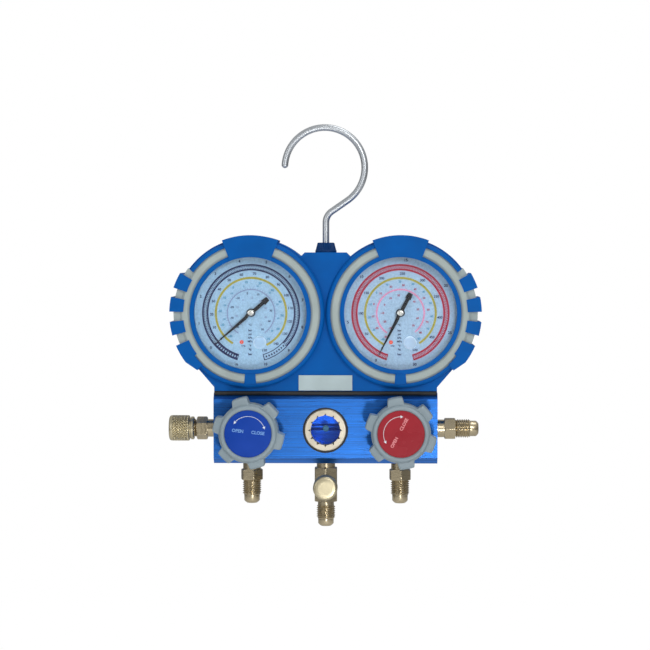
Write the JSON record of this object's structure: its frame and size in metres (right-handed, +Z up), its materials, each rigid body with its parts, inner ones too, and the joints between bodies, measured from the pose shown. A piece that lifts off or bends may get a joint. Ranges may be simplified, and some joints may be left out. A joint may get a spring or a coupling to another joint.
{
  "type": "refrigerant manifold gauge",
  "caption": "Refrigerant service manifold: blue block with handwheel valves, sight glass and flare hose ports under low and high pressure gauges in a soft boot, with a swivelling wire hook.",
  "frame": {"origin": "the underside of the hook's crown, where a rail carries the set, above the stem's axis", "axes": "+Z up along the hook's stem, -Y the front with the dials, -X the low pressure side"},
  "size_m": [0.1865, 0.0565, 0.2408],
  "materials": {
    "anodised_block": "brushed and anodised blue",
    "brass": "turned, satin",
    "tube_bronze": "drawn tube",
    "brass_cap": "knurled, satin",
    "seal_rubber": "black rubber",
    "sight_glass": "clear glass",
    "sight_ring": "nickel plated",
    "steel": "plain steel",
    "hook_wire": "bright zinc-plated wire",
    "boot_blue": "moulded soft plastic, satin",
    "collar_blue": "moulded plastic",
    "trim_grey": "soft grey moulding",
    "plate_silver": "pale moulded plate",
    "knob_grey": "moulded plastic",
    "insert_blue": "printed disc, smooth",
    "insert_red": "printed disc, smooth",
    "gauge_case": "black painted steel",
    "gauge_lens": "clear moulded window",
    "low_dial": "printed white",
    "high_dial": "printed white",
    "pointer_black": "black painted"
  },
  "bodies": {
    "manifold": {"manifold_block": "anodised_block", "gallery_plug": "brass", "low_side_port": "brass", "high_side_port": "brass", "low_bottom_port": "brass", "high_bottom_port": "brass", "center_tee": "brass", "sight_glass_seal": "seal_rubber", "sight_glass_lens": "sight_glass", "sight_glass_ring": "sight_ring", "low_bonnet": "brass", "high_bonnet": "brass", "low_stem_seal": "seal_rubber", "high_stem_seal": "seal_rubber", "access_core_body": "brass", "access_core_spring": "steel", "boot_shell": "boot_blue", "low_trim_ring": "trim_grey", "high_trim_ring": "trim_grey", "name_plate": "plate_silver", "hook_collar": "collar_blue", "low_case": "gauge_case", "low_lens": "gauge_lens", "low_dial": "low_dial", "low_socket": "brass", "low_bourdon_tube": "tube_bronze", "low_movement_frame": "brass", "low_hairspring": "steel", "high_case": "gauge_case", "high_lens": "gauge_lens", "high_dial": "high_dial", "high_socket": "brass", "high_bourdon_tube": "tube_bronze", "high_movement_frame": "brass", "high_hairspring": "steel"},
    "low_valve_lift": {"low_piston": "brass"},
    "low_handwheel": {"low_stem": "steel", "low_knob": "knob_grey", "low_knob_insert": "insert_blue", "low_knob_screw": "steel"},
    "low_needle": {"low_arbor": "brass", "low_pointer": "pointer_black"},
    "low_sector_gear": {"low_sector": "brass"},
    "low_link_rod": {"low_link": "brass"},
    "high_valve_lift": {"high_piston": "brass"},
    "high_handwheel": {"high_stem": "steel", "high_knob": "knob_grey", "high_knob_insert": "insert_red", "high_knob_screw": "steel"},
    "high_needle": {"high_arbor": "brass", "high_pointer": "pointer_black"},
    "high_sector_gear": {"high_sector": "brass"},
    "high_link_rod": {"high_link": "brass"},
    "swivel_hook": {"hook": "hook_wire", "hook_nut": "steel"},
    "side_dust_cap": {"low_side_cap": "brass_cap", "low_side_cap_seal": "seal_rubber"},
    "access_dust_cap": {"access_cap": "brass_cap", "access_cap_seal": "seal_rubber"},
    "access_pin": {"access_core_pin": "brass"}
  },
  "joints": [
    {"name": "low_piston_lift", "type": "slide", "parent": "manifold", "child": "low_valve_lift", "axis": [0, -1, 0], "range_m": [0, 0.00251]},
    {"name": "low_valve_turn", "type": "hinge", "parent": "low_valve_lift", "child": "low_handwheel", "pos_m": [-0.0445, -0.032, -0.17809], "axis": [0, -1, 0], "range_deg": [0, 900]},
    {"name": "low_pointer_turn", "type": "hinge", "parent": "manifold", "child": "low_needle", "pos_m": [-0.0445, -0.008, -0.10879], "axis": [0, 1, 0], "range_deg": [-33, 295.1], "stiffness_Nm_per_rad": 0.004},
    {"name": "low_sector_turn", "type": "hinge", "parent": "manifold", "child": "low_sector_gear", "pos_m": [-0.0445, 0, -0.12769], "axis": [0, 1, 0], "range_deg": [-37.09, 4.33]},
    {"name": "low_link_swing", "type": "hinge", "parent": "low_sector_gear", "child": "low_link_rod", "pos_m": [-0.03751, -0.0012, -0.12725], "axis": [0, 1, 0], "range_deg": [-4.33, 37.09]},
    {"name": "high_piston_lift", "type": "slide", "parent": "manifold", "child": "high_valve_lift", "axis": [0, -1, 0], "range_m": [0, 0.00251]},
    {"name": "high_valve_turn", "type": "hinge", "parent": "high_valve_lift", "child": "high_handwheel", "pos_m": [0.0445, -0.032, -0.17809], "axis": [0, -1, 0], "range_deg": [0, 900]},
    {"name": "high_pointer_turn", "type": "hinge", "parent": "manifold", "child": "high_needle", "pos_m": [0.0445, -0.008, -0.10879], "axis": [0, 1, 0], "range_deg": [-11, 317.1], "stiffness_Nm_per_rad": 0.004},
    {"name": "high_sector_turn", "type": "hinge", "parent": "manifold", "child": "high_sector_gear", "pos_m": [0.0445, 0, -0.12769], "axis": [0, 1, 0], "range_deg": [-39.84, 1.57]},
    {"name": "high_link_swing", "type": "hinge", "parent": "high_sector_gear", "child": "high_link_rod", "pos_m": [0.0515, -0.0012, -0.12758], "axis": [0, 1, 0], "range_deg": [-1.57, 39.84]},
    {"name": "hook_swivel", "type": "hinge", "parent": "manifold", "child": "swivel_hook", "pos_m": [0, 0, -0.07259], "axis": [0, 0, 1], "continuous": true},
    {"name": "side_cap_removal", "type": "slide", "parent": "manifold", "child": "side_dust_cap", "axis": [-1, 0, 0], "range_m": [0, 0.02]},
    {"name": "access_cap_removal", "type": "slide", "parent": "manifold", "child": "access_dust_cap", "axis": [0, -1, 0], "range_m": [0, 0.02]},
    {"name": "access_pin_press", "type": "slide", "parent": "manifold", "child": "access_pin", "axis": [0, 1, 0], "range_m": [0, 0.0012], "stiffness_N_per_m": 800, "springref_m": -0.002, "deforming": ["access_core_spring"]}
  ],
  "couplings": [
    {"joint": "low_piston_lift", "follows": "low_valve_turn", "m_per_rad": 0.00015915},
    {"joint": "low_sector_turn", "follows": "low_pointer_turn", "ratio": -0.125},
    {"joint": "low_link_swing", "follows": "low_pointer_turn", "ratio": 0.125},
    {"joint": "high_piston_lift", "follows": "high_valve_turn", "m_per_rad": 0.00015915},
    {"joint": "high_sector_turn", "follows": "high_pointer_turn", "ratio": -0.125},
    {"joint": "high_link_swing", "follows": "high_pointer_turn", "ratio": 0.125}
  ]
}
